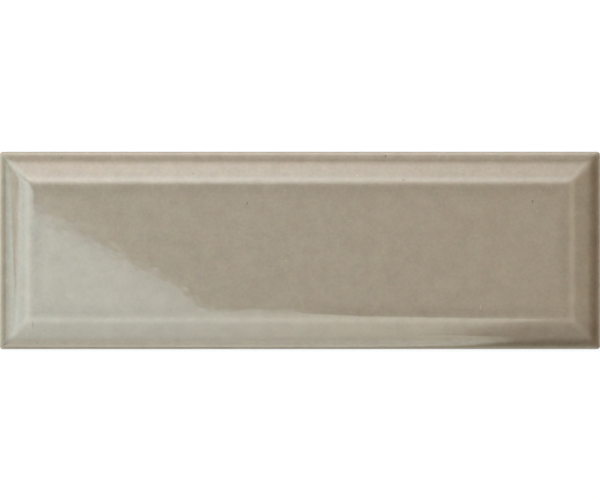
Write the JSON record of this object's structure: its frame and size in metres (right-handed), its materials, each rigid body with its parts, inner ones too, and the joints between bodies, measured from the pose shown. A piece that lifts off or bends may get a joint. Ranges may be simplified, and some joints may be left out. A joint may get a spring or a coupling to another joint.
{
  "type": "wall tile",
  "caption": "Oblong glazed ceramic wall tile with a raised flat panel, mitred bevels and a rolled edge, ribbed on the back for adhesive.",
  "frame": {"origin": "middle of the tile's back, on the plane that it lies on", "axes": "+X along the length, +Y across the width, +Z out of the glazed face"},
  "size_m": [0.298, 0.098, 0.009],
  "materials": {
    "glaze": "gloss"
  },
  "bodies": {
    "root": {"wall_tile": "glaze"}
  },
  "joints": []
}
